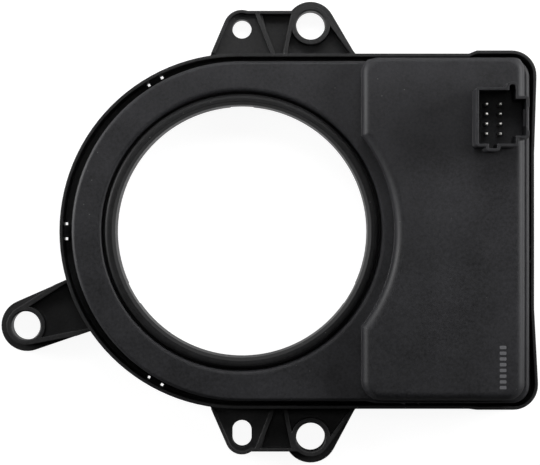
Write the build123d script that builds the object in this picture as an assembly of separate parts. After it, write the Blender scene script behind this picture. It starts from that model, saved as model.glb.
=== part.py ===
from build123d import *
import os
from math import acos, atan2, ceil, cos, hypot, pi, radians, sin, sqrt, tan

# Steering angle sensor. A flat plastic housing is bolted round a steering column, and the
# rotor in its bore turns with the steering wheel. Teeth on the rotor drive two small measuring
# gears whose tooth counts differ by one. Each carries a magnet under a sensor chip, and the
# two angles together give the angle of the wheel over several turns.
# Frame: the origin is on the column axis, in the face that bolts to the column. +Z runs along
# the column to the plug socket, and +X points to the electronics bay. All sizes in millimetres.

# Rotor
bore_radius = 32.5
rotor_wall = 2.75
rotor_foot = 0.4
rotor_top = 11.6
rotor_edge_round = 1.1
bore_chamfer_width = 0.8
bore_chamfer_height = 1.3
drive_notch_count = 3
drive_notch_width = 6.0
drive_notch_depth = 1.7
drive_notch_height = 2.2

# Gearing
gear_module = 1.0
pressure_angle = 20.0
addendum = 0.9 * gear_module
dedendum = 1.2 * gear_module
tooth_thinning = 0.12
gear_rim = 1.45
gear_width = 3.6
gear_z = 4.4
small_teeth = (20, 21)
small_gear_angles = (24.0, -24.0)

# Running clearances and seats
journal_clearance = 0.08
axial_clearance = 0.25
cover_gap = 0.65
seat_clearance = 0.05

# Housing levels, measured from the bolting face
floor_thickness = 1.6
skirt_rim_z = 9.0
ring_top_z = 11.4
bay_top_z = 16.2
socket_rim_z = 25.0

# Cover
cover_wall = 1.3
plate_thickness = 1.5
ring_channel = 3.5
cover_edge_round = 0.8
edge_steps = 3
edge_first_flat = 0.75
edge_next_flats = 0.25
groove_round = 1.0
bay_depth = 34.6
bay_left_reach = 8.5
bay_arc_land = 3.4
bay_corner_left = 5.0
bay_corner_right = 4.6
bay_slope_width = 0.3
bay_top_round = 2.3
bay_ledge_right = 1.45
bay_ledge_bottom = 0.8
bay_bevel_top = 1.2
bay_shoulder_run = 2.5

# Skirt of the rear housing
skirt_wall = 0.8
side_gap = 1.3
bay_gap = 0.8
bay_gap_right = 0.7
skirt_arc_shift = 1.2
skirt_corner_radius = 6.4
flare_length = 16.8
flare_ramp = 2.0
flare_top = 0.8
flare_bottom = 0.25
flare_right_top = 0.6
flare_right_bottom = 1.0
flare_straight = 0.4
flare_side_run = 19.0

# Ears and arm
ear_height = 5.8
ear_floor = 2.4
pilot_floor = 4.2
ear_rim = 0.8
rib_width = 1.0
bolt_hole_radius = 3.75
bolt_hole_chamfer = 0.3
bolt_boss_radius = 5.0
bolt_boss_x = 17.85
bolt_boss_reach = 7.65
bolt_flange_upper = 6.4
bolt_flange_lower = 6.9
pilot_hole_radius = 2.5
pilot_reach = 6.8
pilot_ear_radius = 4.8
slot_length = 7.0
slot_ear_radius = 4.3
ear_top_reach = 11.35
ear_left = -8.3
ear_right = 30.0
rib_inner_foot = 8.4
rib_inner_head = 3.7
rib_outer_foot = 11.0
rib_outer_head = 13.3
arm_angle = 204.1
arm_root_angle = 205.1
arm_root_spread = 9.4
arm_reach = 14.25
arm_flange_radius = 6.75
arm_rib_width = 1.3

# Snap hooks
snap_angles = (120.0, 180.0, 240.0)
snap_length = 3.2
snap_hole_length = 4.6
snap_hole_width = 0.75
snap_tab_z = 3.2
snap_tab_height = 1.2
snap_play = 0.2
snap_catch_height = 1.0
snap_clear = 0.15
snap_bite = 0.5
bay_snap_from_left = 13.2
bay_snap_right_y = -6.0

# Plug socket
pin_pitch = 2.5
pin_row_spacing = 3.5
pins_per_row = 4
pin_width = 0.64
pin_tip_z = 22.0
pin_tip_chamfer = 0.18
pin_tail = 1.5
socket_from_right = 9.65
socket_from_top = 15.6
socket_width = 9.3
socket_height = 13.4
socket_wall = 0.75
latch_depth = 2.6
latch_height = 9.2
latch_drop = 0.1
latch_wall_recess = 0.35
latch_recess_height = 5.8
latch_recess_drop = 0.45
latch_catch_depth = 0.5
latch_catch_height = 1.4
latch_catch_length = 4.4
latch_catch_below_rim = 2.0
key_top_width = 1.6
key_top_depth = 1.4
key_top_from_corner = 0.1
key_bottom_width = 2.1
key_bottom_depth = 1.15
key_bottom_from_left = 2.5
pins_from_left = 4.05
pins_below_centre = 0.3

# Circuit board and its parts
board_thickness = 1.6
board_z = 10.4
board_edge_gap = 0.5
stake_radius = 0.9
stake_clearance = 0.1
stake_head_radius = 1.6
stake_head_height = 0.7
stake_post_width = 3.6
stake_inset = 4.2
header_margin = 1.1
header_height = 2.4
pin_slip = 0.02

# Measuring gears, their axles and magnets
axle_radius = 1.4
axle_shoulder_radius = 2.6
axle_top_z = 6.2
hub_radius = 4.2
hub_top_z = 8.9
magnet_radius = 3.0
magnet_height = 1.8
magnet_seat_z = 7.2
gear_web_recess = 0.9
gear_web_rim = 1.1
sensor_chip_size = (5.0, 4.4, 0.9)
controller_size = (9.0, 9.0, 1.4)
transceiver_size = (5.0, 4.0, 1.5)
regulator_size = (6.5, 6.0, 2.2)
crystal_size = (5.0, 3.2, 1.0)
tantalum_size = (7.3, 4.3, 2.5)
chip_part_size = (2.0, 1.25, 0.8)

# Underside relief of the rear housing
relief_depth = 0.6
relief_border = 2.6
relief_rib = 1.4
relief_rib_count = 8
bay_relief_columns = 2
bay_relief_rows = 4

# Worked out from the sizes above
rotor_collar_radius = bore_radius + rotor_wall
rotor_teeth = ceil(2 * (rotor_collar_radius + gear_rim + dedendum) / gear_module)
rotor_pitch_radius = gear_module * rotor_teeth / 2
rotor_tip_radius = rotor_pitch_radius + addendum
small_pitch_radii = [gear_module * teeth / 2 for teeth in small_teeth]
seat_radius = rotor_collar_radius + journal_clearance
seat_collar_top = gear_z - axial_clearance
cover_hole_radius = rotor_collar_radius + cover_gap
cover_radius = rotor_tip_radius + ring_channel + cover_wall
cover_collar_z = gear_z + gear_width + axial_clearance
skirt_half = cover_radius + side_gap + skirt_wall
bay_half = skirt_half - skirt_wall - bay_gap
bay_arc_radius = cover_hole_radius + bay_arc_land
bay_left = bay_arc_radius - bay_left_reach
bay_right = bay_arc_radius + bay_depth
housing_right = bay_right + bay_gap_right + skirt_wall
flare_start = housing_right - flare_length
flare_full_y = skirt_half - skirt_corner_radius - flare_straight
flare_end_y = flare_full_y - flare_side_run
bay_slope_angle = atan2(bay_slope_width, bay_top_z - ring_top_z) * 180 / pi
bay_edge_reach = bay_slope_width + bay_top_round * tan(radians((90 - bay_slope_angle) / 2))
board_top_z = board_z + board_thickness
socket_x = bay_right - socket_from_right
socket_y = bay_half - socket_from_top
pins_x = socket_x - socket_width / 2 + pins_from_left
pins_y = socket_y - pins_below_centre


seated = (Align.CENTER, Align.CENTER, Align.MIN)


def disc(radius, z0, z1):
    """An upright cylinder on the column axis between two levels."""
    return Pos(0, 0, z0) * Cylinder(radius, z1 - z0, align=seated)


def block(x0, x1, y0, y1, z0, z1):
    """A box between three pairs of limits."""
    centre = Pos((x0 + x1) / 2, (y0 + y1) / 2, (z0 + z1) / 2)
    return centre * Box(abs(x1 - x0), abs(y1 - y0), z1 - z0)


def prism(face, z0, z1):
    """A flat outline raised from one level to another."""
    return extrude(Pos(0, 0, z0) * face, z1 - z0)


def bar(start, end, width):
    """A flat strip between two points."""
    length = hypot(end[0] - start[0], end[1] - start[1])
    turn = atan2(end[1] - start[1], end[0] - start[0]) * 180 / pi
    middle = Pos((start[0] + end[0]) / 2, (start[1] + end[1]) / 2)
    return middle * Rot(0, 0, turn) * Rectangle(length, width)


def quarter_round(x, z, radius):
    """Points of a softened edge from its side to its top. A negative radius mirrors it."""
    points = []
    for step in range(edge_steps + 1):
        angle = pi / 2 * step / edge_steps
        points.append((x + radius * cos(angle), z + abs(radius) * sin(angle)))
    return points


def edges_at(body, level):
    """The edges that lie at one level."""
    return body.edges().filter_by_position(Axis.Z, level - 0.01, level + 0.01)


def eased(body, level, size):
    """Softens a body's upper edge with three narrow flats."""
    body = chamfer(edges_at(body, level), edge_first_flat * size)
    for z in (level, level - edge_first_flat * size):
        body = chamfer(edges_at(body, z), edge_next_flats * size)
    return body


def tangent_point(point, centre, radius, side):
    """Where a line from point touches a circle, on its left (1) or right (-1) side."""
    away = (point[0] - centre[0], point[1] - centre[1])
    angle = atan2(away[1], away[0]) + side * acos(radius / hypot(*away))
    return (centre[0] + radius * cos(angle), centre[1] + radius * sin(angle))


def toothed_face(teeth, turn=0.0):
    """An involute spur gear's outline. Each flank is a few chords of the true involute."""
    pitch = gear_module * teeth / 2
    base = pitch * cos(radians(pressure_angle))
    tip = pitch + addendum
    root = pitch - dedendum
    flank_steps = 2
    involute_at_pitch = tan(radians(pressure_angle)) - radians(pressure_angle)
    half_tooth = pi / (2 * teeth) - tooth_thinning / 2 / pitch + involute_at_pitch
    start = max(base, root)
    points = []
    for tooth in range(teeth):
        middle = turn + 2 * pi * tooth / teeth
        flank = []
        for step in range(flank_steps + 1):
            r = start + (tip - start) * step / flank_steps
            roll = acos(base / r)
            flank.append((r, half_tooth - (tan(roll) - roll)))
        if root < base:
            flank.insert(0, (root, half_tooth))
        points += [(r * cos(middle - a), r * sin(middle - a)) for r, a in flank]
        points += [(r * cos(middle + a), r * sin(middle + a)) for r, a in reversed(flank)]
    return make_face(Polyline(*points, close=True))


def small_gear_places():
    """Centre and turn of each measuring gear, set so that its teeth mesh with the rotor's."""
    places = []
    for teeth, radius, degrees_round in zip(small_teeth, small_pitch_radii, small_gear_angles):
        way = radians(degrees_round)
        distance = rotor_pitch_radius + radius
        half_pitch = pi * gear_module / 2
        turn = pi + way + (rotor_pitch_radius * way - half_pitch) / radius
        places.append((distance * cos(way), distance * sin(way), teeth, turn))
    return places


def skirt_outline(inset=0.0):
    """The skirt's outline: an arc on the left, straight sides, and corners that flare a little."""
    half = skirt_half - inset
    right = housing_right - inset
    left = -skirt_arc_shift
    flare_x = flare_start + flare_ramp
    points = [
        (left, half),
        (flare_start, half),
        (flare_x, half + flare_top),
        (right + flare_right_top, half + flare_top),
        (right + flare_right_top, flare_full_y),
        (right, flare_end_y),
        (right, -flare_end_y),
        (right + flare_right_bottom, -flare_full_y),
        (right + flare_right_bottom, -half - flare_bottom),
        (flare_x, -half - flare_bottom),
        (flare_start, -half),
        (left, -half),
    ]
    arc = ThreePointArc(points[-1], (left - half, 0), points[0])
    face = make_face(Curve() + [Polyline(*points), arc])
    corners = [
        v for v in face.vertices()
        if v.X > right + min(flare_right_top, flare_right_bottom) / 2 and abs(v.Y) > half
    ]
    return fillet(corners, skirt_corner_radius - inset)


def cover_outline(inset=0.0):
    """The cover's plan: round, then straight, then a little wider beside the bay."""
    half = cover_radius - inset
    wide = bay_half - inset
    right = bay_right - inset
    shoulder = bay_left + bay_shoulder_run / 2
    points = [
        (0, half),
        (shoulder, half),
        (shoulder + bay_shoulder_run, wide),
        (right, wide),
        (right, -wide),
        (shoulder + bay_shoulder_run, -wide),
        (shoulder, -half),
        (0, -half),
    ]
    face = make_face(Curve() + [Polyline(*points), ThreePointArc(points[-1], (-half, 0), points[0])])
    return fillet([v for v in face.vertices() if v.X > right - 0.01], bay_corner_right - inset)


def bay_foot(inset=0.0):
    """The electronics bay where it rises from the ring: a rounded block bitten round the column."""
    left = bay_left + inset
    right = bay_right - bay_ledge_right - inset
    low = -bay_half + bay_ledge_bottom + inset
    high = bay_half + bay_edge_reach - bay_bevel_top - inset
    plain = Pos((left + right) / 2, (low + high) / 2) * Rectangle(right - left, high - low)
    corners = plain.vertices()
    left_corners = [v for v in corners if v.X < (left + right) / 2]
    face = fillet(left_corners, bay_corner_left - inset)
    right_corners = [v for v in face.vertices() if abs(v.X - right) < 0.01]
    face = fillet(right_corners, bay_corner_right - inset)
    return face - Circle(bay_arc_radius + inset)


def bay_block(inset, top_z):
    """The bay from the floor to its roof, with sides that slope above the ring's level."""
    foot = bay_foot(inset)
    rise = top_z - ring_top_z
    slopes = extrude(Pos(0, 0, ring_top_z) * foot, rise, taper=bay_slope_angle)
    return prism(foot, floor_thickness, ring_top_z) + slopes


def snap_frame(origin, outward):
    """A plane-less frame: X points outward, Y along the wall."""
    return Pos(*origin) * Rot(0, 0, outward)


def snaps():
    """Each snap's place on the cover's wall, its outward direction and the gap to the skirt."""
    found = []
    for angle in snap_angles:
        way = radians(angle)
        inner = skirt_half - skirt_wall
        across = skirt_arc_shift * sin(way)
        reach = -skirt_arc_shift * cos(way) + sqrt(inner * inner - across * across)
        found.append((cover_radius * cos(way), cover_radius * sin(way), angle, reach - cover_radius))
    side_x = bay_left + bay_snap_from_left
    found.append((side_x, bay_half, 90.0, bay_gap))
    found.append((side_x, -bay_half, -90.0, bay_gap))
    found.append((bay_right, bay_snap_right_y, 0.0, bay_gap_right))
    return found


def snap_tab(gap):
    """The cover's hook, under the catch."""
    reach = gap - snap_clear if gap > 1 else gap * 0.7
    profile = Polyline(
        (-snap_bite, snap_tab_z - reach / 2),
        (0, snap_tab_z - reach / 2),
        (reach, snap_tab_z + snap_tab_height / 2),
        (reach, snap_tab_z + snap_tab_height),
        (-snap_bite, snap_tab_z + snap_tab_height),
        close=True,
    )
    return extrude(Plane.XZ * make_face(profile), snap_length / 2, both=True)


def snap_catch(gap):
    """The skirt's catch, over the hook."""
    z0 = snap_tab_z + snap_tab_height + snap_play
    depth = gap - snap_clear if gap > 1 else gap * 0.7
    top = z0 + snap_catch_height + depth / 2
    profile = Polyline(
        (gap - depth, z0),
        (gap + snap_bite, z0),
        (gap + snap_bite, top),
        (gap, top),
        (gap - depth, z0 + snap_catch_height / 2),
        close=True,
    )
    return extrude(Plane.XZ * make_face(profile), snap_length / 2, both=True)


def snap_hole(gap):
    """The opening in the floor that lets the mould form the underside of the catch."""
    width = min(snap_hole_width, gap)
    return block(gap - width, gap, -snap_hole_length / 2, snap_hole_length / 2, -1, floor_thickness + 1)


def ear_outline(pilot_y, pilot_radius, bolt_radius):
    """One ear's plan: a boss for the bolt, a smaller one for the pilot, straight sides."""
    pilot = (0, pilot_y)
    bolt = (bolt_boss_x, skirt_half + bolt_boss_reach)
    foot_y = skirt_half - skirt_wall / 2
    left_foot = (ear_left, foot_y)
    right_foot = (ear_right, foot_y)
    top_y = skirt_half + ear_top_reach
    body = Polyline(
        left_foot,
        tangent_point(left_foot, pilot, pilot_radius, -1),
        (0, top_y),
        (bolt_boss_x, top_y),
        tangent_point(right_foot, bolt, bolt_radius, 1),
        right_foot,
        close=True,
    )
    ends = Pos(*pilot) * Circle(pilot_radius) + Pos(*bolt) * Circle(bolt_radius)
    return make_face(body) + ends - skirt_outline(skirt_wall / 2)


def ear(pilot_y, pilot_radius, bolt_radius):
    """An ear without its holes: a plate with a raised rim, ribs, bolt boss and pilot pad."""
    outline = ear_outline(pilot_y, pilot_radius, bolt_radius)
    foot_y = skirt_half - skirt_wall / 2
    top_y = skirt_half + ear_top_reach
    bolt = (bolt_boss_x, skirt_half + bolt_boss_reach)
    rib_middle = bolt_boss_radius - rib_width / 2
    right_foot = (ear_right - rib_width * 0.7, foot_y)
    ribs = bar((rib_inner_foot, foot_y), (rib_inner_head, top_y), rib_width)
    ribs += bar((rib_outer_foot, foot_y), (rib_outer_head, top_y - ear_rim), rib_width)
    ribs += bar(right_foot, tangent_point(right_foot, bolt, rib_middle, 1), rib_width)
    ribs += Pos(*bolt) * Circle(bolt_boss_radius)
    pilot_side = make_face(
        Polyline(
            (ear_left - pilot_radius, foot_y - 1),
            (rib_inner_foot, foot_y - 1),
            (rib_inner_head, top_y + pilot_radius),
            (ear_left - pilot_radius, top_y + pilot_radius),
            close=True,
        )
    )
    rim = outline - offset(outline, -ear_rim) - skirt_outline(-ear_rim)
    rim -= Pos(rib_inner_head + ear_right / 2, foot_y) * Rectangle(ear_right, 6 * bolt_radius)
    rim_y = top_y - ear_rim / 2
    rim += bar((rib_inner_head, rim_y), (bolt_boss_x, rim_y), ear_rim)
    body = prism(outline, 0, ear_floor)
    body += prism(outline & pilot_side, 0, pilot_floor)
    return body + prism((ribs & outline) + rim, 0, ear_height)


def chamfered_hole(x, y, radius, top_z):
    """A through hole with a small chamfer at its mouth."""
    hole = Pos(x, y, 0) * disc(radius, -1, top_z + 1)
    mouth = Cone(radius, radius + bolt_hole_chamfer, bolt_hole_chamfer, align=seated)
    return hole + Pos(x, y, top_z - bolt_hole_chamfer) * mouth


def upper_ear():
    """The ear with the round pilot hole."""
    pilot_y = skirt_half + pilot_reach
    body = ear(pilot_y, pilot_ear_radius, bolt_flange_upper)
    body -= Pos(0, pilot_y, 0) * Cylinder(pilot_hole_radius, 3 * ear_height)
    return body - chamfered_hole(
        bolt_boss_x, skirt_half + bolt_boss_reach, bolt_hole_radius, ear_height
    )


def lower_ear():
    """The ear with the slotted pilot hole, a mirror image but for the slot."""
    end_y = skirt_half + pilot_reach + slot_length / 2 - pilot_hole_radius
    body = ear(end_y, slot_ear_radius, bolt_flange_lower)
    slot_face = Pos(0, skirt_half + pilot_reach) * Rot(0, 0, 90) * SlotOverall(
        slot_length, 2 * pilot_hole_radius
    )
    body -= prism(slot_face, -1, ear_height + 1)
    body -= chamfered_hole(
        bolt_boss_x, skirt_half + bolt_boss_reach, bolt_hole_radius, ear_height
    )
    return mirror(body, about=Plane.XZ)


def arm_centre():
    """The bolt hole at the end of the arm."""
    way = radians(arm_angle)
    distance = skirt_half + arm_reach
    return (-skirt_arc_shift + distance * cos(way), distance * sin(way))


def arm():
    """The single arm on the round side: a tapering plate, a boss and two ribs."""
    centre = arm_centre()
    feet = []
    for side in (-1, 1):
        way = radians(arm_root_angle + side * arm_root_spread)
        reach = skirt_half - skirt_wall / 2
        feet.append((-skirt_arc_shift + reach * cos(way), reach * sin(way)))
    body = Polyline(
        feet[0],
        tangent_point(feet[0], centre, arm_flange_radius, 1),
        centre,
        tangent_point(feet[1], centre, arm_flange_radius, -1),
        feet[1],
        (-skirt_arc_shift, 0),
        close=True,
    )
    clear = skirt_outline(skirt_wall / 2)
    outline = make_face(body) + Pos(*centre) * Circle(arm_flange_radius) - clear
    boss = Pos(*centre) * Circle(bolt_boss_radius)
    rib_middle = bolt_boss_radius - arm_rib_width / 2
    for foot, side in zip(feet, (1, -1)):
        boss += bar(foot, tangent_point(foot, centre, rib_middle, side), arm_rib_width)
    solid = prism(outline, 0, ear_floor) + prism(boss & outline, 0, ear_height)
    return solid - chamfered_hole(*centre, bolt_hole_radius, ear_height)


def stake_places():
    """The board's four stakes, one near each corner."""
    x_low = bay_left + cover_wall + stake_inset
    x_high = bay_right - cover_wall - stake_inset
    y_high = bay_half - cover_wall - stake_inset
    return [(x, y) for x in (x_low, x_high) for y in (-y_high, y_high)]


def floor_relief():
    """Shallow pockets under the floor that keep its thickness even and leave stiff ribs."""
    inner = seat_radius + cover_wall + 1
    outer = skirt_half - skirt_arc_shift - relief_border
    ring = Circle(outer) - Circle(inner)
    ring -= Pos(bay_arc_radius + skirt_half, 0) * Rectangle(2 * skirt_half, 3 * skirt_half)
    for step in range(relief_rib_count):
        spoke = Rot(0, 0, step * 360 / relief_rib_count) * Rectangle(3 * outer, relief_rib)
        ring -= spoke
    pockets = ring
    x0 = bay_arc_radius + relief_border + 1
    x1 = housing_right - skirt_wall - relief_border
    y1 = skirt_half - relief_border
    wide = (x1 - x0 - (bay_relief_columns - 1) * relief_rib) / bay_relief_columns
    high = (2 * y1 - (bay_relief_rows - 1) * relief_rib) / bay_relief_rows
    for column in range(bay_relief_columns):
        for row in range(bay_relief_rows):
            x = x0 + wide / 2 + column * (wide + relief_rib)
            y = -y1 + high / 2 + row * (high + relief_rib)
            pockets += Pos(x, y) * Rectangle(wide, high)
    return prism(pockets, -1, relief_depth)


def rear_housing():
    """Floor, skirt, rotor seat, ears, axles and board stakes, moulded in one piece."""
    body = prism(skirt_outline(), 0, skirt_rim_z)
    body -= prism(skirt_outline(skirt_wall), floor_thickness, skirt_rim_z + 1)
    body += disc(seat_radius + cover_wall, 0, seat_collar_top)
    body -= disc(seat_radius, -1, skirt_rim_z)
    body += upper_ear()
    body += lower_ear()
    body += arm()
    for x, y, _, _ in small_gear_places():
        body += Pos(x, y, 0) * disc(axle_shoulder_radius, 0, gear_z - axial_clearance)
        body += Pos(x, y, 0) * disc(axle_radius, 0, axle_top_z)
    for x, y in stake_places():
        body += Pos(x, y, 0) * Box(stake_post_width, stake_post_width, board_z, align=seated)
        body += Pos(x, y, 0) * disc(stake_radius, 0, board_top_z)
        body += Pos(x, y, 0) * disc(stake_head_radius, board_top_z, board_top_z + stake_head_height)
    for x, y, turn, gap in snaps():
        place = snap_frame((x, y), turn)
        body += place * snap_catch(gap)
        body -= place * snap_hole(gap)
    return body - floor_relief()


def socket_face(grow=0.0):
    """The plug socket's plan: the opening itself, or grown by its wall."""
    keys = key_top_from_corner + key_top_width / 2
    right = socket_x + socket_width / 2
    left = socket_x - socket_width / 2
    face = Pos(socket_x, socket_y) * Rectangle(socket_width, socket_height)
    face += Pos(right, socket_y - latch_drop) * Rectangle(2 * latch_depth, latch_height)
    key_y = socket_y + socket_height / 2 + key_top_depth / 2
    key = Pos(right - keys, key_y) * Rectangle(key_top_width, key_top_depth)
    key_ends = [v for v in key.vertices() if v.Y > key_y]
    face += fillet(key_ends, key_top_width * 0.4)
    low_key_x = left + key_bottom_from_left + key_bottom_width / 2
    low_key_y = socket_y - socket_height / 2 - key_bottom_depth / 2
    face += Pos(low_key_x, low_key_y) * Rectangle(key_bottom_width, key_bottom_depth)
    return offset(face, grow) if grow else face


def socket_shroud():
    """The socket's wall, which stands on the bay's roof."""
    body = prism(socket_face(socket_wall), ring_top_z, socket_rim_z)
    outer_x = socket_x + socket_width / 2 + latch_depth + socket_wall
    middle_y = socket_y - latch_recess_drop
    recess = block(
        outer_x - latch_wall_recess,
        outer_x + 1,
        middle_y - latch_recess_height / 2,
        middle_y + latch_recess_height / 2,
        bay_top_z,
        socket_rim_z + 1,
    )
    return body - recess


def latch_catch():
    """The ledge in the latch chamber that the plug's lever hooks under."""
    wall_x = socket_x + socket_width / 2 + latch_depth
    top = socket_rim_z - latch_catch_below_rim
    profile = Polyline(
        (wall_x + snap_bite / 2, top),
        (wall_x - latch_catch_depth, top - latch_catch_height * 0.7),
        (wall_x - latch_catch_depth, top - latch_catch_height),
        (wall_x + snap_bite / 2, top - latch_catch_height),
        close=True,
    )
    ledge = extrude(Plane.XZ * make_face(profile), latch_catch_length / 2, both=True)
    return Pos(0, socket_y - latch_drop, 0) * ledge


def pin_places():
    """The pins' axes, row by row."""
    places = []
    for row in (-1, 1):
        for step in range(pins_per_row):
            y = pins_y + (step - (pins_per_row - 1) / 2) * pin_pitch
            places.append((pins_x + row * pin_row_spacing / 2, y))
    return places


def front_cover():
    """Ring, bay and plug socket in one moulding, hollow from below."""
    plate = prism(cover_outline(), floor_thickness, ring_top_z)
    plate = eased(plate, ring_top_z, cover_edge_round)
    bay = bay_block(0, bay_top_z)
    bay = fillet(edges_at(bay, bay_top_z), bay_top_round)
    body = plate + (bay & prism(cover_outline(), 0, bay_top_z))
    hollow = prism(cover_outline(cover_wall), floor_thickness - 1, ring_top_z - plate_thickness)
    hollow += bay_block(cover_wall, bay_top_z - plate_thickness) & prism(
        cover_outline(cover_wall), 0, bay_top_z
    )
    body += socket_shroud()
    body -= hollow
    body += disc(cover_hole_radius + cover_wall, cover_collar_z, ring_top_z - plate_thickness / 2)
    body -= disc(cover_hole_radius, -1, bay_top_z)
    lip = quarter_round(cover_hole_radius + groove_round, ring_top_z - groove_round, -groove_round)
    corner = [(cover_hole_radius + groove_round, bay_top_z), (cover_hole_radius - 1, bay_top_z)]
    corner.append((cover_hole_radius - 1, ring_top_z - groove_round))
    body -= revolve(Plane.XZ * make_face(Polyline(*lip, *corner, close=True)), Axis.Z)
    body -= prism(socket_face(), bay_top_z, socket_rim_z + 1)
    body += latch_catch()
    for x, y in pin_places():
        side = pin_width / 2 + seat_clearance
        body -= block(x - side, x + side, y - side, y + side, board_top_z, bay_top_z + 1)
    for x, y, turn, gap in snaps():
        body += snap_frame((x, y), turn) * snap_tab(gap)
    return body


def rotor_ring():
    """The ring that turns with the steering wheel, with its gear teeth and drive notches."""
    profile = Polyline(
        (bore_radius, rotor_foot),
        (rotor_collar_radius, rotor_foot),
        *quarter_round(
            rotor_collar_radius - rotor_edge_round, rotor_top - rotor_edge_round, rotor_edge_round
        ),
        (bore_radius + bore_chamfer_width, rotor_top),
        (bore_radius, rotor_top - bore_chamfer_height),
        close=True,
    )
    body = revolve(Plane.XZ * make_face(profile), Axis.Z)
    teeth = toothed_face(rotor_teeth) - Circle(bore_radius + rotor_wall / 2)
    body += prism(teeth, gear_z, gear_z + gear_width)
    for step in range(drive_notch_count):
        notch = block(
            bore_radius - 1,
            bore_radius + drive_notch_depth,
            -drive_notch_width / 2,
            drive_notch_width / 2,
            rotor_foot - 1,
            rotor_foot + drive_notch_height,
        )
        body -= Rot(0, 0, 90 + step * 360 / drive_notch_count) * notch
    return body


def measuring_gear(x, y, teeth, turn):
    """A small gear with a hub that holds the magnet above and runs on its axle below."""
    pitch = gear_module * teeth / 2
    body = prism(toothed_face(teeth, turn), gear_z, gear_z + gear_width)
    dish_outer = pitch - dedendum - gear_web_rim
    dish = disc(dish_outer, gear_z + gear_width - gear_web_recess, gear_z + gear_width + 1)
    body -= dish - disc(hub_radius, 0, hub_top_z)
    body += disc(hub_radius, gear_z, hub_top_z)
    body -= disc(axle_radius + journal_clearance / 2, gear_z - 1, axle_top_z + axial_clearance)
    body -= disc(magnet_radius + seat_clearance, magnet_seat_z, hub_top_z + 1)
    return Pos(x, y, 0) * body


def magnet(x, y):
    """The round magnet pressed into a measuring gear's hub."""
    return Pos(x, y, 0) * disc(magnet_radius, magnet_seat_z, magnet_seat_z + magnet_height)


def chip(x, y, size, z):
    """A plain moulded component body with its underside at the given level."""
    return Pos(x, y, z + size[2] / 2) * Box(*size)


def circuit_board():
    """The board, cut round the column, with holes for its stakes and its soldered pins."""
    face = bay_foot(cover_wall + board_edge_gap) & cover_outline(cover_wall + board_edge_gap)
    for x, y in stake_places():
        face -= Pos(x, y) * Circle(stake_radius + stake_clearance)
    for x, y in pin_places():
        face -= Pos(x, y) * Rectangle(pin_width + 2 * pin_slip, pin_width + 2 * pin_slip)
    return prism(face, board_z, board_top_z)


def pin_header():
    """The block that holds the socket's pins upright on the board."""
    half_x = pin_row_spacing / 2 + header_margin
    half_y = (pins_per_row - 1) / 2 * pin_pitch + header_margin
    body = block(
        pins_x - half_x,
        pins_x + half_x,
        pins_y - half_y,
        pins_y + half_y,
        board_top_z,
        board_top_z + header_height,
    )
    side = pin_width / 2 + pin_slip
    for x, y in pin_places():
        body -= block(x - side, x + side, y - side, y + side, board_top_z - 1, bay_top_z)
    return body


def pin(x, y):
    """One square pin with a tapered tip, from under the board up into the socket."""
    half = pin_width / 2
    body = block(x - half, x + half, y - half, y + half, board_z - pin_tail, pin_tip_z)
    tip = body.edges().filter_by_position(Axis.Z, pin_tip_z - 0.01, pin_tip_z + 0.01)
    return chamfer(tip, 2 * pin_tip_chamfer, pin_tip_chamfer)


def board_parts():
    """The electronic parts that sit on the board, by name."""
    middle_x = (bay_arc_radius + bay_right) / 2
    column_x = middle_x + controller_size[0]
    row_y = bay_half / 2
    parts = {
        "microcontroller": chip(middle_x, 0, controller_size, board_top_z),
        "bus_transceiver": chip(column_x, pins_y / 3, transceiver_size, board_top_z),
        "voltage_regulator": chip(column_x, -row_y / 2, regulator_size, board_top_z),
        "clock_crystal": chip(middle_x, -controller_size[1], crystal_size, board_top_z),
        "tantalum_capacitor": chip(middle_x, -row_y, tantalum_size, board_top_z),
    }
    filters = []
    for step in range(pins_per_row):
        y = row_y + (step - 1.5) * 2 * chip_part_size[1]
        filters.append(chip(middle_x, y, chip_part_size, board_top_z))
        filters.append(chip(middle_x, -y - 2 * tantalum_size[1], chip_part_size, board_top_z))
    parts["filter_capacitors"] = Compound(children=filters)
    return parts


def all_parts():
    """Every piece by its name."""
    parts = {
        "rear_housing": rear_housing(),
        "front_cover": front_cover(),
        "rotor_ring": rotor_ring(),
        "circuit_board": circuit_board(),
        "pin_header": pin_header(),
    }
    for letter, (x, y, teeth, turn) in zip("ab", small_gear_places()):
        parts[f"measuring_gear_{letter}"] = measuring_gear(x, y, teeth, turn)
        parts[f"magnet_{letter}"] = magnet(x, y)
        parts[f"sensor_chip_{letter}"] = chip(x, y, sensor_chip_size, board_z - sensor_chip_size[2])
    for number, (x, y) in enumerate(pin_places(), 1):
        parts[f"pin_{number}"] = pin(x, y)
    parts.update(board_parts())
    return parts


os.makedirs("parts", exist_ok=True)
for name, shape in all_parts().items():
    export_step(shape, f"parts/{name}.step")
print("rotor teeth", rotor_teeth, "small gears", small_teeth)
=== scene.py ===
import bmesh
import bpy
from bpy.props import FloatProperty, FloatVectorProperty, IntProperty, PointerProperty
from mathutils import Matrix, Vector


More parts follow.
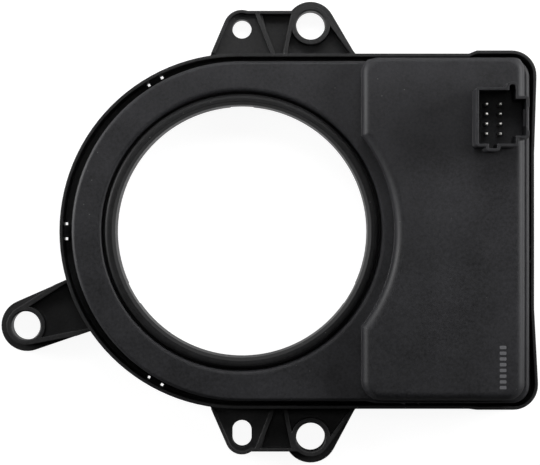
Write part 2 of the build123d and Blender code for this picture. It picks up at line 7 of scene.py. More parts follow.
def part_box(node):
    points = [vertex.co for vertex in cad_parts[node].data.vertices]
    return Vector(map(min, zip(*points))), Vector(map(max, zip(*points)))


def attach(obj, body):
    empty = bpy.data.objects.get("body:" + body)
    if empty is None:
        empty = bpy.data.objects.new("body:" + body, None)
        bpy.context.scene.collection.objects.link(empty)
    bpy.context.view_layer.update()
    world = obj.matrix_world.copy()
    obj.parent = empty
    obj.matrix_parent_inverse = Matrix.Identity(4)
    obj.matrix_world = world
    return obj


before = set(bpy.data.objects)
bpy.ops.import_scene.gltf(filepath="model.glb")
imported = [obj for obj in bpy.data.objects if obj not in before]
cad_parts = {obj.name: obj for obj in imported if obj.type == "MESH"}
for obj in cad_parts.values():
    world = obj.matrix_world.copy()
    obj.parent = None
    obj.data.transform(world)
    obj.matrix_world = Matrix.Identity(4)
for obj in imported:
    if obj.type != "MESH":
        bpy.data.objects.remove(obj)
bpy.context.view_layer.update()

bl_info = {
    "name": "Steering Angle Sensor",
    "version": (1, 0, 0),
    "blender": (4, 5, 0),
    "location": "View3D > Sidebar > Sensor",
    "description": "Finishes, printed marks and studio for a steering angle sensor",
    "category": "Object",
}

MM = 0.001
# The middle of the range from 0 to 1 that a noise gives.
MIDDLE = 0.5
BLACK = (0.0, 0.0, 0.0, 1.0)
WHITE = (1.0, 1.0, 1.0, 1.0)

# Lengths below are in metres, in the CAD model's frame.
ROOF_LEVEL = 16.2 * MM
FLOOR_REACH = 3.0
LAMP_AIM = (0.01, 0.0, 0.008)
# Place, width and height of each soft lamp. Its power is a setting of the studio.
LAMPS = {
    "top_lamp": ((0.02, 0.17, 0.16), 0.22, 0.08),
    "left_lamp": ((-0.36, 0.08, 0.06), 0.2, 0.06),
    "left_high_lamp": ((-0.34, 0.08, 0.18), 0.2, 0.1),
    "right_lamp": ((0.38, 0.08, 0.14), 0.2, 0.08),
    "overhead_lamp": ((0.0, 0.12, 0.65), 0.3, 0.2),
}
# Mirrors see the floor dark in one patch beside the part, along -Y, so its lower slopes stay dark.
PATCH_NEAR = -0.02
PATCH_NEAR_FADE = 0.03
PATCH_FAR = -0.24
PATCH_FAR_FADE = 0.06
PATCH_HALF_WIDTH = 0.2
PATCH_SIDE_FADE = 0.08


class Number:
    """A number socket that works in Python sums. Each operator adds a Math node."""

    def __init__(self, finish, socket):
        self.finish = finish
        self.socket = socket

    def __add__(self, other):
        return self.finish.math("ADD", self, other)

    def __radd__(self, other):
        return self.finish.math("ADD", other, self)

    def __sub__(self, other):
        return self.finish.math("SUBTRACT", self, other)

    def __rsub__(self, other):
        return self.finish.math("SUBTRACT", other, self)

    def __mul__(self, other):
        return self.finish.math("MULTIPLY", self, other)

    def __rmul__(self, other):
        return self.finish.math("MULTIPLY", other, self)

    def __truediv__(self, other):
        return self.finish.math("DIVIDE", self, other)

    def __gt__(self, other):
        return self.finish.math("GREATER_THAN", self, other)

    def __lt__(self, other):
        return self.finish.math("LESS_THAN", self, other)


class Finish:
    """One material and the few ways its nodes are made."""

    def __init__(self, name):
        self.material = bpy.data.materials.new(name)
        self.material.use_nodes = True
        self.tree = self.material.node_tree
        self.tree.nodes.clear()
        self.output = self.node("ShaderNodeOutputMaterial")
        self.place = self.node("ShaderNodeTexCoord").outputs["Object"]

    def node(self, kind, settings=None, inputs=None):
        """Adds a node: its settings are set first, then the values or links of its sockets."""
        made = self.tree.nodes.new(kind)
        for name, value in (settings or {}).items():
            setattr(made, name, value)
        for name, value in (inputs or {}).items():
            self.feed(made.inputs[name], value)
        return made

    def feed(self, socket, value):
        """Gives a socket a plain value or a link."""
        if isinstance(value, Number):
            value = value.socket
        if isinstance(value, bpy.types.NodeSocket):
            self.tree.links.new(value, socket)
        else:
            socket.default_value = value

    def math(self, operation, first, second=0.0):
        """A Math node on two numbers."""
        made = self.node("ShaderNodeMath", {"operation": operation}, {0: first, 1: second})
        return Number(self, made.outputs[0])

    def clamp(self, value, low=0.0, high=1.0):
        """Keeps a number between two limits."""
        made = self.node("ShaderNodeClamp", None, {"Value": value, "Min": low, "Max": high})
        return Number(self, made.outputs[0])

    def uneven(self, middle, *strays):
        """A number from 0 to 1 that strays from its middle. Each stray is a noise and its reach."""
        total = middle
        for noise, reach in strays:
            total = total + reach * (noise - MIDDLE)
        return self.clamp(total)

    def stretched(self, factors):
        """Object coordinates, scaled apart along each axis."""
        inputs = {"Vector": self.place, "Scale": factors}
        return self.node("ShaderNodeMapping", {"vector_type": "POINT"}, inputs).outputs[0]

    def noise(self, size, detail=2.0, rough=0.5, place=None):
        """Soft noise from 0 to 1 whose blotches are about the given size."""
        inputs = {
            "Vector": place or self.place,
            "Scale": 1.0 / size,
            "Detail": detail,
            "Roughness": rough,
        }
        return Number(self, self.node("ShaderNodeTexNoise", None, inputs).outputs[0])

    def cells(self, size):
        """Distance to the nearest of scattered points, for grains and pits."""
        inputs = {"Vector": self.place, "Scale": 1.0 / size}
        made = self.node("ShaderNodeTexVoronoi", {"feature": "F1"}, inputs)
        return Number(self, made.outputs["Distance"])

    def axis(self, name):
        """One of the object coordinates as a number."""
        made = self.node("ShaderNodeSeparateXYZ", None, {0: self.place})
        return Number(self, made.outputs[name])

    def blend(self, share, first, second):
        """A colour between two colours."""
        settings = {"data_type": "RGBA", "clamp_factor": True}
        made = self.node("ShaderNodeMix", settings, {0: share, 6: first, 7: second})
        return made.outputs[2]

    def bump(self, height, depth, normal=None):
        """A normal from a height of 0 to 1, as deep as given."""
        inputs = {"Height": height, "Distance": depth, "Strength": 1.0}
        if normal is not None:
            inputs["Normal"] = normal
        return self.node("ShaderNodeBump", None, inputs).outputs[0]

    def soft_edges(self, radius):
        """The normal of a surface whose edges are slightly rounded, as a mould leaves them."""
        return self.node("ShaderNodeBevel", {"samples": 6}, {"Radius": radius}).outputs[0]

    def surface(self, inputs):
        """Ends the material in a Principled shader."""
        shader = self.node("ShaderNodeBsdfPrincipled", None, inputs)
        self.feed(self.output.inputs["Surface"], shader.outputs[0])
        return self.material


def rgba(colour, factor=1.0):
    """A colour with full alpha, made darker or lighter by a factor."""
    return (colour[0] * factor, colour[1] * factor, colour[2] * factor, 1.0)


def dress(material, *names):
    """Gives a material to CAD nodes, in every slot they have."""
    for name in names:
        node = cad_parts[name]
        if not node.material_slots:
            node.data.materials.append(material)
        for slot in node.material_slots:
            slot.material = material


def new_piece(name, mesh_maker, material, body):
    """A piece whose mesh is made by a function on an empty bmesh, riding on a body."""
    mesh = bpy.data.meshes.new(name)
    made = bmesh.new()
    mesh_maker(made)
    bmesh.ops.recalc_face_normals(made, faces=made.faces)
    made.to_mesh(mesh)
    made.free()
    mesh.materials.append(material)
    piece = bpy.data.objects.new(name, mesh)
    bpy.context.scene.collection.objects.link(piece)
    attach(piece, body)


class PlasticLook(bpy.types.PropertyGroup):
    """The black moulded plastic of the housing, the cover and the rotor."""

    cover_colour: FloatVectorProperty(
        name="Cover colour",
        description="Base colour of the front cover",
        subtype="COLOR",
        default=(0.015, 0.015, 0.017),
    )
    housing_colour: FloatVectorProperty(
        name="Housing colour",
        description="Base colour of the rear housing with its ears and arm",
        subtype="COLOR",
        default=(0.012, 0.012, 0.0125),
    )
    rotor_colour: FloatVectorProperty(
        name="Rotor colour",
        description="Base colour of the ring that turns",
        subtype="COLOR",
        default=(0.008, 0.008, 0.0085),
    )
    # The pin header is black plastic; its colour is darker still, as painted shade of the deep
    # socket around the pins.
    header_colour_and_shade: FloatVectorProperty(
        name="Pin header colour",
        description="Base colour of the block that holds the pins",
        subtype="COLOR",
        default=(0.004, 0.004, 0.0042),
    )
    grain_size: FloatProperty(
        name="Grain size",
        description="Size of the fine texture that the mould leaves",
        unit="LENGTH",
        default=0.16 * MM,
    )
    grain_depth: FloatProperty(
        name="Grain depth",
        description="Depth of that texture",
        unit="LENGTH",
        default=0.012 * MM,
    )
    mottle_size: FloatProperty(
        name="Mottle size",
        description="Size of the faint blotches in the surface",
        unit="LENGTH",
        default=0.8 * MM,
    )
    cloud_size: FloatProperty(
        name="Cloud size",
        description="Size of the broad clouds in tone and gloss",
        unit="LENGTH",
        default=11.0 * MM,
    )
    darkest: FloatProperty(
        name="Darkest",
        description="Tone of the darkest spots, as a share of the colour",
        default=0.4,
    )
    lightest: FloatProperty(
        name="Lightest",
        description="Tone of the lightest spots, as a share of the colour",
        default=1.8,
    )
    roughness: FloatProperty(
        name="Roughness",
        description="Middle of the plastic's roughness",
        subtype="FACTOR",
        default=0.56,
    )
    dust_spacing: FloatProperty(
        name="Dust spacing",
        description="How far apart the specks of dust lie, counted through the solid",
        unit="LENGTH",
        default=3.6 * MM,
    )
    dust_radius: FloatProperty(
        name="Dust radius",
        description="Size of a speck of dust",
        unit="LENGTH",
        default=0.13 * MM,
    )
    dust_colour: FloatVectorProperty(
        name="Dust colour",
        description="Base colour of the dust",
        subtype="COLOR",
        default=(0.1, 0.1, 0.1),
    )
    dust_roughness: FloatProperty(
        name="Dust roughness",
        description="How much rougher a speck of dust is",
        subtype="FACTOR",
        default=0.3,
    )
    edge_radius: FloatProperty(
        name="Edge radius",
        description="How round the mould leaves each edge",
        unit="LENGTH",
        default=0.35 * MM,
    )


class InsideLook(bpy.types.PropertyGroup):
    """Gears, magnets, circuit board and its parts, and the pins."""

    gear_colour: FloatVectorProperty(
        name="Gear colour",
        description="Base colour of the natural gear resin",
        subtype="COLOR",
        default=(0.78, 0.75, 0.66),
    )
    gear_flow_colour: FloatVectorProperty(
        name="Gear flow colour",
        description="Base colour of the flow marks in the gear resin",
        subtype="COLOR",
        default=(0.7332, 0.69, 0.5544),
    )
    magnet_colour: FloatVectorProperty(
        name="Magnet colour",
        description="Base colour of the magnets",
        subtype="COLOR",
        default=(0.09, 0.09, 0.095),
    )
    pore_colour: FloatVectorProperty(
        name="Pore colour",
        description="Base colour of the pores in the magnets",
        subtype="COLOR",
        default=(0.035, 0.035, 0.038),
    )
    mask_colour: FloatVectorProperty(
        name="Solder mask colour",
        description="Base colour of the circuit board",
        subtype="COLOR",
        default=(0.012, 0.12, 0.045),
    )
    fibre_colour: FloatVectorProperty(
        name="Fibre colour",
        description="Base colour of the glass fibre at the board's edge",
        subtype="COLOR",
        default=(0.42, 0.37, 0.2),
    )
    fibre_shade: FloatVectorProperty(
        name="Fibre shade",
        description="Base colour between the fibres",
        subtype="COLOR",
        default=(0.3, 0.26, 0.13),
    )
    track_pitch: FloatProperty(
        name="Track pitch",
        description="Spacing of the copper tracks under the solder mask",
        unit="LENGTH",
        default=1.27 * MM,
    )
    mask_edge: FloatProperty(
        name="Mask edge",
        description="How far below each face the bare edge of the board begins",
        unit="LENGTH",
        default=0.08 * MM,
    )
    chip_colour: FloatVectorProperty(
        name="Chip colour",
        description="Base colour of the chips' epoxy",
        subtype="COLOR",
        default=(0.03, 0.03, 0.031),
    )
    chip_shade: FloatVectorProperty(
        name="Chip shade",
        description="Base colour of the darker clouds in the epoxy",
        subtype="COLOR",
        default=(0.014, 0.014, 0.015),
    )
    can_colour: FloatVectorProperty(
        name="Can colour",
        description="Base colour of the crystal's can",
        subtype="COLOR",
        default=(0.74, 0.74, 0.72),
    )
    can_shade: FloatVectorProperty(
        name="Can shade",
        description="Base colour of the marks in its brushed steel",
        subtype="COLOR",
        default=(0.55, 0.55, 0.53),
    )
    amber_colour: FloatVectorProperty(
        name="Amber colour",
        description="Base colour of the tantalum capacitor",
        subtype="COLOR",
        default=(0.74, 0.46, 0.11),
    )
    amber_shade: FloatVectorProperty(
        name="Amber shade",
        description="Base colour of its darker spots",
        subtype="COLOR",
        default=(0.62, 0.36, 0.07),
    )
    stripe_colour: FloatVectorProperty(
        name="Stripe colour",
        description="Base colour of the stripe at its positive end",
        subtype="COLOR",
        default=(0.16, 0.07, 0.03),
    )
    ceramic_colour: FloatVectorProperty(
        name="Ceramic colour",
        description="Base colour of the filter capacitors",
        subtype="COLOR",
        default=(0.5, 0.35, 0.22),
    )
    ceramic_shade: FloatVectorProperty(
        name="Ceramic shade",
        description="Base colour of their darker spots",
        subtype="COLOR",
        default=(0.38, 0.25, 0.15),
    )
    tin_colour: FloatVectorProperty(
        name="Tin colour",
        description="Base colour of the filter capacitors' tinned ends",
        subtype="COLOR",
        default=(0.7, 0.7, 0.68),
    )
    end_share: FloatProperty(
        name="End share",
        description="Length of a stripe or a tinned end, as a share of the body",
        subtype="FACTOR",
        default=0.2,
    )
    pin_colour: FloatVectorProperty(
        name="Pin colour",
        description="Base colour of the tinned pins",
        subtype="COLOR",
        default=(0.95, 0.93, 0.89),
    )
    pin_spot_size: FloatProperty(
        name="Pin spot size",
        description="Size of the worn spots on the sides of the pins",
        unit="LENGTH",
        default=0.9 * MM,
    )
    # The tip length sets the painted highlight: a pale, hardly metallic band at the top of each
    # pin.
    tip_length: FloatProperty(
        name="Tip length",
        description="Length of the bright cut tip of each pin",
        unit="LENGTH",
        default=0.3 * MM,
    )


class MarkSizes(bpy.types.PropertyGroup):
    """The row of plain printed bars on the electronics bay."""

    count: IntProperty(name="Bars", description="How many bars are printed", default=8, min=1)
    pitch: FloatProperty(
        name="Bar pitch",
        description="Distance from one bar to the next",
        unit="LENGTH",
        default=1.46 * MM,
    )
    length: FloatProperty(
        name="Bar length",
        description="Length of a bar across the row",
        unit="LENGTH",
        default=1.7 * MM,
    )
    width: FloatProperty(
        name="Bar width",
        description="Width of a bar along the row",
        unit="LENGTH",
        default=0.85 * MM,
    )
    corner_radius: FloatProperty(
        name="Corner radius",
        description="How round the corners of a bar are",
        unit="LENGTH",
        default=0.238 * MM,
    )
    row_x: FloatProperty(
        name="Row place X",
        description="Where the row stands across the bay",
        unit="LENGTH",
        default=66.6 * MM,
    )
    row_y: FloatProperty(
        name="Row place Y",
        description="The middle of the row along the bay",
        unit="LENGTH",
        default=-34.7 * MM,
    )
    ink_thickness: FloatProperty(
        name="Ink thickness",
        description="How thick the ink lies",
        unit="LENGTH",
        default=0.02 * MM,
    )
    ink_colour: FloatVectorProperty(
        name="Ink colour",
        description="Base colour of the grey ink",
        subtype="COLOR",
        default=(0.16, 0.16, 0.17),
    )


class StudioSizes(bpy.types.PropertyGroup):
    """Floor, lamps and camera."""

    camera_place: FloatVectorProperty(
        name="Camera place",
        description="Where the camera hangs, straight above the part",
        subtype="TRANSLATION",
        unit="LENGTH",
        default=(7.3 * MM, -0.34 * MM, 560.0 * MM),
    )
    camera_lens: FloatProperty(
        name="Lens",
        description="Focal length in millimetres",
        unit="CAMERA",
        default=142.5,
    )
    film_width: FloatProperty(
        name="Film width",
        description="Width of the camera's film in millimetres",
        unit="CAMERA",
        default=36.0,
    )
    floor_colour: FloatVectorProperty(
        name="Floor colour",
        description="Colour that the floor's shadows are seen in",
        subtype="COLOR",
        default=(0.25, 0.25, 0.25),
    )
    floor_glow: FloatProperty(
        name="Floor glow",
        description="How white the camera and mirrors see the floor",
        subtype="FACTOR",
        default=0.93,
    )
    top_lamp: FloatProperty(
        name="Top lamp", description="Power of the soft lamp above the top edge", default=0.3
    )
    left_lamp: FloatProperty(
        name="Left lamp", description="Power of the low soft lamp on the left", default=1.2
    )
    left_high_lamp: FloatProperty(
        name="High left lamp", description="Power of the higher lamp on the left", default=0.35
    )
    right_lamp: FloatProperty(
        name="Right lamp", description="Power of the soft lamp on the right", default=1.4
    )
    overhead_lamp: FloatProperty(
        name="Overhead lamp", description="Power of the soft lamp overhead", default=0.24
    )
    world_light: FloatProperty(
        name="World light", description="Strength of the even light all round", default=0.01
    )


def moulded_plastic(name, colour, look, cloud_sheen=0.1, specular=0.35, fine_to_grain=2.2):
    """Matte black plastic with a fine spark-eroded grain, uneven gloss and a few specks of dust."""
    finish = Finish(name)
    grain = finish.cells(look.grain_size)
    fine = finish.noise(look.grain_size * fine_to_grain, detail=3.0, rough=0.6)
    mottle = finish.noise(look.mottle_size, detail=3.0, rough=0.6)
    cloud = finish.noise(look.cloud_size)
    tone = finish.uneven(MIDDLE, (fine, 0.9), (mottle, 1.3), (cloud, 0.9))
    plastic = finish.blend(tone, rgba(colour, look.darkest), rgba(colour, look.lightest))
    dust = finish.cells(look.dust_spacing) < look.dust_radius / look.dust_spacing
    rough = look.roughness + look.dust_roughness * dust
    height = 0.5 * grain + 0.3 * fine + 0.2 * mottle
    edges = finish.soft_edges(look.edge_radius)
    return finish.surface(
        {
            "Base Color": finish.blend(dust, plastic, rgba(look.dust_colour)),
            "Roughness": finish.uneven(rough, (cloud, cloud_sheen), (fine, 0.16), (mottle, 0.22)),
            "Specular IOR Level": specular,
            "Normal": finish.bump(height, look.grain_depth, edges),
        }
    )


def gear_resin(name, look, flow_size=2.5 * MM, fine_size=0.12 * MM, fine_depth=0.004 * MM):
    """Natural gear resin, slightly waxy, with faint flow marks."""
    finish = Finish(name)
    flow = finish.noise(flow_size, detail=3.0, place=finish.stretched((1.0, 1.0, 4.0)))
    fine = finish.noise(fine_size)
    return finish.surface(
        {
            "Base Color": finish.blend(flow, rgba(look.gear_colour), rgba(look.gear_flow_colour)),
            "Roughness": finish.uneven(0.34, (flow, 0.12), (fine, 0.1)),
            "Subsurface Weight": 0.15,
            "Subsurface Scale": 0.5 * MM,
            "Normal": finish.bump(fine, fine_depth),
        }
    )


def sintered_magnet(name, look, pore_size=0.22 * MM, grind_size=0.5 * MM, depth=0.01 * MM):
    """Dark sintered magnet with pores and a faint grind."""
    finish = Finish(name)
    pores = finish.cells(pore_size)
    grind = finish.noise(grind_size, detail=4.0, place=finish.stretched((1.0, 14.0, 1.0)))
    return finish.surface(
        {
            "Base Color": finish.blend(pores, rgba(look.pore_colour), rgba(look.magnet_colour)),
            "Roughness": finish.uneven(0.42, (grind, 0.25)),
            "Metallic": 0.35,
            "Normal": finish.bump(0.5 * pores + 0.5 * grind, depth),
        }
    )


def tracks(finish, pitch, across, stretch, sparseness, lane_size=6.0 * MM, track_share=0.45):
    """Copper tracks side by side across one axis, each kept only where a noise is high."""
    stripe = finish.math("FRACT", finish.axis(across) / pitch)
    lane = finish.noise(lane_size, detail=0.0, place=finish.stretched(stretch))
    return (stripe < track_share) * (lane > sparseness)


def printed_board(name, look, weave_size=0.35 * MM, track_height=0.03 * MM, over_copper=1.7):
    """Solder mask over copper tracks, with bare glass-fibre edges."""
    finish = Finish(name)
    pitch = look.track_pitch
    lengthways = tracks(finish, pitch, "X", stretch=(3.0, 1.0, 0.0), sparseness=0.48)
    crossways = tracks(finish, pitch, "Y", stretch=(1.0, 3.0, 0.0), sparseness=0.56)
    copper = finish.math("MAXIMUM", lengthways, crossways)
    low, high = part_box("circuit_board")
    level = finish.axis("Z")
    bare = (level > low.z + look.mask_edge) * (level < high.z - look.mask_edge)
    mask = finish.blend(copper, rgba(look.mask_colour), rgba(look.mask_colour, over_copper))
    weave = finish.noise(weave_size, detail=3.0)
    edge = finish.blend(weave, rgba(look.fibre_colour), rgba(look.fibre_shade))
    return finish.surface(
        {
            "Base Color": finish.blend(bare, mask, edge),
            "Roughness": finish.uneven(0.24 + 0.35 * bare, (weave, 0.1)),
            "Normal": finish.bump(0.8 * copper + 0.2 * weave, track_height),
        }
    )


def chip_resin(name, look, grain_size=0.09 * MM, cloud_size=1.8 * MM, depth=0.006 * MM):
    """Black epoxy of moulded chips, with the fine matte grain left by the mould."""
    finish = Finish(name)
    grain = finish.cells(grain_size)
    cloud = finish.noise(cloud_size)
    return finish.surface(
        {
            "Base Color": finish.blend(cloud, rgba(look.chip_shade), rgba(look.chip_colour)),
            "Roughness": finish.uneven(0.52, (grain, 0.2)),
            "Normal": finish.bump(grain, depth),
        }
    )


def brushed_can(name, look, brush_size=0.8 * MM, brush_depth=0.003 * MM):
    """The crystal's brushed steel can."""
    finish = Finish(name)
    brush = finish.noise(brush_size, detail=5.0, place=finish.stretched((1.0, 22.0, 1.0)))
    return finish.surface(
        {
            "Base Color": finish.blend(brush, rgba(look.can_shade), rgba(look.can_colour)),
            "Roughness": finish.uneven(0.26, (brush, 0.24)),
            "Metallic": 1.0,
            "Normal": finish.bump(brush, brush_depth),
        }
    )


def amber_resin(name, look, fine_size=0.2 * MM, fine_depth=0.005 * MM):
    """Amber resin with the darker stripe that marks the capacitor's positive end."""
    finish = Finish(name)
    low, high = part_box("tantalum_capacitor")
    stripe = finish.axis("X") > high.x - look.end_share * (high.x - low.x)
    fine = finish.noise(fine_size, detail=3.0)
    body = finish.blend(fine, rgba(look.amber_shade), rgba(look.amber_colour))
    return finish.surface(
        {
            "Base Color": finish.blend(stripe, body, rgba(look.stripe_colour)),
            "Roughness": finish.uneven(0.4, (fine, 0.16)),
            "Normal": finish.bump(fine, fine_depth),
        }
    )


def ceramic_chip(name, look, fine_size=0.15 * MM, fine_depth=0.006 * MM):
    """Fired ceramic body with tinned ends."""
    finish = Finish(name)
    low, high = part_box("filter_capacitors")
    cap = look.end_share * (high.x - low.x)
    across = finish.axis("X")
    ends = finish.math("MAXIMUM", across < low.x + cap, across > high.x - cap)
    fine = finish.noise(fine_size, detail=3.0)
    body = finish.blend(fine, rgba(look.ceramic_shade), rgba(look.ceramic_colour))
    return finish.surface(
        {
            "Base Color": finish.blend(ends, body, rgba(look.tin_colour)),
            "Metallic": 0.9 * ends,
            "Roughness": finish.uneven(0.5 - 0.2 * ends, (fine, 0.15)),
            "Normal": finish.bump(fine, fine_depth),
        }
    )


def tinned_pin(name, look, draw_size=0.3 * MM, draw_depth=0.003 * MM, shaded_dull=0.4, worn=0.55):
    """Tinned pins drawn lengthways and worn in spots. The shank is a darker, shaded copy of the tin
    colour as painted shade, and each tip is a pale, hardly metallic band as a painted highlight.
    """
    finish = Finish(name)
    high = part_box("pin_1")[1]
    # Painted highlight: the top of each pin is pale and hardly metallic, so it shows bright
    # whatever it reflects.
    tip_highlight = finish.axis("Z") > high.z - look.tip_length
    drawn = finish.noise(draw_size, detail=4.0, place=finish.stretched((8.0, 8.0, 0.6)))
    spots = finish.noise(look.pin_spot_size)
    # Painted shade: the shank is a darker copy of the tip's colour, with random worn spots between
    # two tones.
    shank = finish.blend(spots, rgba(look.pin_colour, shaded_dull), rgba(look.pin_colour, worn))
    return finish.surface(
        {
            "Base Color": finish.blend(tip_highlight, shank, rgba(look.pin_colour)),
            "Roughness": finish.uneven(0.32 + 0.15 * tip_highlight, (drawn, 0.25)),
            "Metallic": 1.0 - 0.85 * tip_highlight,
            "Normal": finish.bump(drawn, draw_depth),
        }
    )


def grey_ink(name, colour, patch_size=0.22 * MM, patch_depth=0.006 * MM, faint=0.55):
    """Thin grey ink, slightly patchy where it meets the grain."""
    finish = Finish(name)
    patchy = finish.noise(patch_size, detail=3.0, rough=0.6)
    cover = finish.uneven(MIDDLE, (patchy, 1.6))
    return finish.surface(
        {
            "Base Color": finish.blend(cover, rgba(colour, faint), rgba(colour)),
            "Roughness": finish.uneven(0.5, (patchy, 0.2)),
            "Normal": finish.bump(patchy, patch_depth),
        }
    )


class SENSOR_OT_plastic(bpy.types.Operator):
    """Gives the housing, the cover, the rotor and the pin header their moulded plastic"""

    bl_idname = "sensor.plastic"
    bl_label = "Moulded plastic"

    def execute(self, context):
        look = context.scene.sensor_plastic
        housing = moulded_plastic("housing_plastic", look.housing_colour, look)
        cover = moulded_plastic("cover_plastic", look.cover_colour, look)
        rotor = moulded_plastic(
            "rotor_plastic", look.rotor_colour, look, cloud_sheen=0.16, specular=0.24
        )
        # The header's extra darkness is painted shade of the deep socket.
        header = moulded_plastic("header_plastic", look.header_colour_and_shade, look, specular=0.2)
        dress(housing, "rear_housing")
        dress(cover, "front_cover")
        dress(rotor, "rotor_ring")
        dress(header, "pin_header")
        return {"FINISHED"}


class SENSOR_OT_gearing(bpy.types.Operator):
    """Gives the measuring gears and their magnets their resin and sintered finish"""

    bl_idname = "sensor.gearing"
    bl_label = "Gears and magnets"

    def execute(self, context):
        look = context.scene.sensor_inside
        dress(gear_resin("gear_plastic", look), "measuring_gear_a", "measuring_gear_b")
        dress(sintered_magnet("magnet", look), "magnet_a", "magnet_b")
        return {"FINISHED"}


class SENSOR_OT_electronics(bpy.types.Operator):
    """Gives the circuit board and everything soldered to it their finishes"""

    bl_idname = "sensor.electronics"
    bl_label = "Board, chips and pins"

    def execute(self, context):
        look = context.scene.sensor_inside
        dress(printed_board("board", look), "circuit_board")
        chips = ("sensor_chip_a", "sensor_chip_b", "microcontroller", "bus_transceiver")
        dress(chip_resin("chip_package", look), *chips, "voltage_regulator")
        dress(brushed_can("crystal_can", look), "clock_crystal")
        dress(amber_resin("capacitor_body", look), "tantalum_capacitor")
        dress(ceramic_chip("capacitor_ceramic", look), "filter_capacitors")
        pins = [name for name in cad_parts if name.startswith("pin_") and name != "pin_header"]
        dress(tinned_pin("pin_metal", look), *pins)
        return {"FINISHED"}


class SENSOR_OT_marks(bpy.types.Operator):
    """Prints a row of plain grey bars on the electronics bay"""

    bl_idname = "sensor.marks"
    bl_label = "Printed bars"

    def execute(self, context):
        sizes = context.scene.sensor_marks

        def bars(made):
            middle = (sizes.count - 1) / 2
            for number in range(sizes.count):
                centre = Vector((sizes.row_x, sizes.row_y + (number - middle) * sizes.pitch, 0))
                place = Matrix.Translation(centre + Vector((0, 0, ROOF_LEVEL)))
                # Half of the height lies in the plastic, the other half is the ink that shows.
                size = Matrix.Diagonal((sizes.length, sizes.width, 2 * sizes.ink_thickness, 1.0))
                new = bmesh.ops.create_cube(made, size=1.0, matrix=place @ size)
                corners = set(new["verts"])
                upright = [
                    edge
                    for edge in made.edges
                    if edge.verts[0] in corners
                    and abs(edge.verts[0].co.z - edge.verts[1].co.z) > sizes.ink_thickness
                ]
                bmesh.ops.bevel(
                    made,
                    geom=upright,
                    offset=sizes.corner_radius,
                    segments=4,
                    profile=0.5,
                    affect="EDGES",
                    material=-1,
                )

        ink = grey_ink("grey_ink", sizes.ink_colour)
        new_piece("printed_bars", bars, ink, "housing")
        return {"FINISHED"}


def area_lamp(name, place, aim, width, height, power):
    """A soft rectangular lamp that faces a point."""
    light = bpy.data.lights.new(name, "AREA")
    light.shape = "RECTANGLE"
    light.size = width
    light.size_y = height
    light.energy = power
    lamp = bpy.data.objects.new(name, light)
    lamp.location = place
    lamp.rotation_euler = (Vector(aim) - Vector(place)).to_track_quat("-Z", "Y").to_euler()
    bpy.context.scene.collection.objects.link(lamp)


def floor_finish(colour, strength):
    """A pale floor that the camera sees as plain white, and mirrors too outside a dark patch."""
    finish = Finish("floor_paint")
    paths = finish.node("ShaderNodeLightPath").outputs
    mirrored = finish.math("MAXIMUM", paths["Is Glossy Ray"], paths["Is Transmission Ray"])
    along = finish.axis("Y")
    near = finish.clamp((PATCH_NEAR - along) / PATCH_NEAR_FADE)
    far = finish.clamp((along - PATCH_FAR) / PATCH_FAR_FADE)
    across = finish.math("ABSOLUTE", finish.axis("X"))
    beside = finish.clamp((PATCH_HALF_WIDTH - across) / PATCH_SIDE_FADE)
    outside = 1 - near * far * beside
    seen = finish.math("MAXIMUM", paths["Is Camera Ray"], mirrored * outside)
    paint = finish.node("ShaderNodeBsdfDiffuse", None, {"Color": rgba(colour)})
    light = {"Color": finish.blend(seen, BLACK, WHITE), "Strength": strength}
    glow = finish.node("ShaderNodeEmission", None, light)
    both = finish.node("ShaderNodeAddShader", None, {0: paint.outputs[0], 1: glow.outputs[0]})
    finish.feed(finish.output.inputs["Surface"], both.outputs[0])
    return finish.material


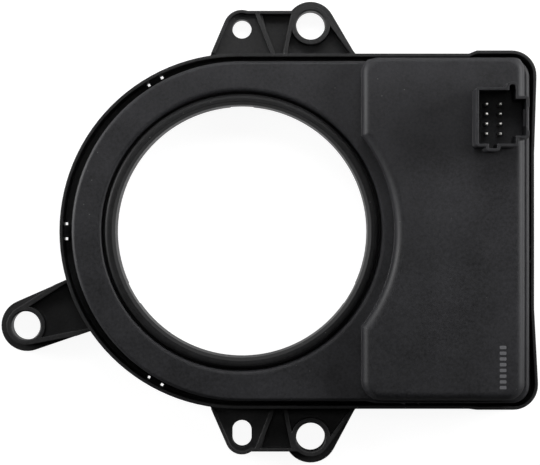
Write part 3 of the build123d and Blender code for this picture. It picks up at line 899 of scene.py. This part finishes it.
class SENSOR_OT_studio(bpy.types.Operator):
    """Sets up the floor, the lamps and the camera straight above the part"""

    bl_idname = "sensor.studio"
    bl_label = "Studio"

    def execute(self, context):
        sizes = context.scene.sensor_studio
        scene = context.scene
        mesh = bpy.data.meshes.new("studio_floor")
        made = bmesh.new()
        bmesh.ops.create_grid(made, x_segments=8, y_segments=8, size=FLOOR_REACH)
        made.to_mesh(mesh)
        made.free()
        mesh.materials.append(floor_finish(sizes.floor_colour, sizes.floor_glow))
        floor = bpy.data.objects.new("studio_floor", mesh)
        scene.collection.objects.link(floor)

        for name, (place, width, height) in LAMPS.items():
            area_lamp(name, place, LAMP_AIM, width, height, getattr(sizes, name))

        world = bpy.data.worlds.new("studio_world")
        world.use_nodes = True
        background = world.node_tree.nodes["Background"]
        background.inputs["Color"].default_value = WHITE
        background.inputs["Strength"].default_value = sizes.world_light
        scene.world = world

        data = bpy.data.cameras.new("studio_camera")
        data.lens = sizes.camera_lens
        data.sensor_width = sizes.film_width
        data.clip_start = 10 * MM
        camera = bpy.data.objects.new("studio_camera", data)
        camera.location = sizes.camera_place
        scene.collection.objects.link(camera)
        scene.camera = camera
        scene.view_settings.view_transform = "Standard"
        return {"FINISHED"}


class SENSOR_PT_panel(bpy.types.Panel):
    """Lists the steps that finish the sensor"""

    bl_idname = "SENSOR_PT_panel"
    bl_label = "Steering Angle Sensor"
    bl_space_type = "VIEW_3D"
    bl_region_type = "UI"
    bl_category = "Sensor"

    def draw(self, context):
        for operator in STEPS:
            self.layout.operator(operator.bl_idname)
        for group in LOOKS:
            settings = getattr(context.scene, group)
            box = self.layout.box()
            for name in type(settings).__annotations__:
                box.prop(settings, name)


LOOKS = {
    "sensor_plastic": PlasticLook,
    "sensor_inside": InsideLook,
    "sensor_marks": MarkSizes,
    "sensor_studio": StudioSizes,
}
STEPS = (
    SENSOR_OT_plastic,
    SENSOR_OT_gearing,
    SENSOR_OT_electronics,
    SENSOR_OT_marks,
    SENSOR_OT_studio,
)


def register():
    """Makes the settings, the operators and the panel known to Blender."""
    for name, group in LOOKS.items():
        bpy.utils.register_class(group)
        setattr(bpy.types.Scene, name, PointerProperty(type=group))
    for operator in STEPS:
        bpy.utils.register_class(operator)
    bpy.utils.register_class(SENSOR_PT_panel)


def unregister():
    """Takes them out again."""
    bpy.utils.unregister_class(SENSOR_PT_panel)
    for operator in reversed(STEPS):
        bpy.utils.unregister_class(operator)
    for name, group in reversed(list(LOOKS.items())):
        delattr(bpy.types.Scene, name)
        bpy.utils.unregister_class(group)


def main():
    """Runs every step."""
    register()
    bpy.ops.sensor.plastic()
    bpy.ops.sensor.gearing()
    bpy.ops.sensor.electronics()
    bpy.ops.sensor.marks()
    bpy.ops.sensor.studio()


if __name__ == "__main__":
    main()
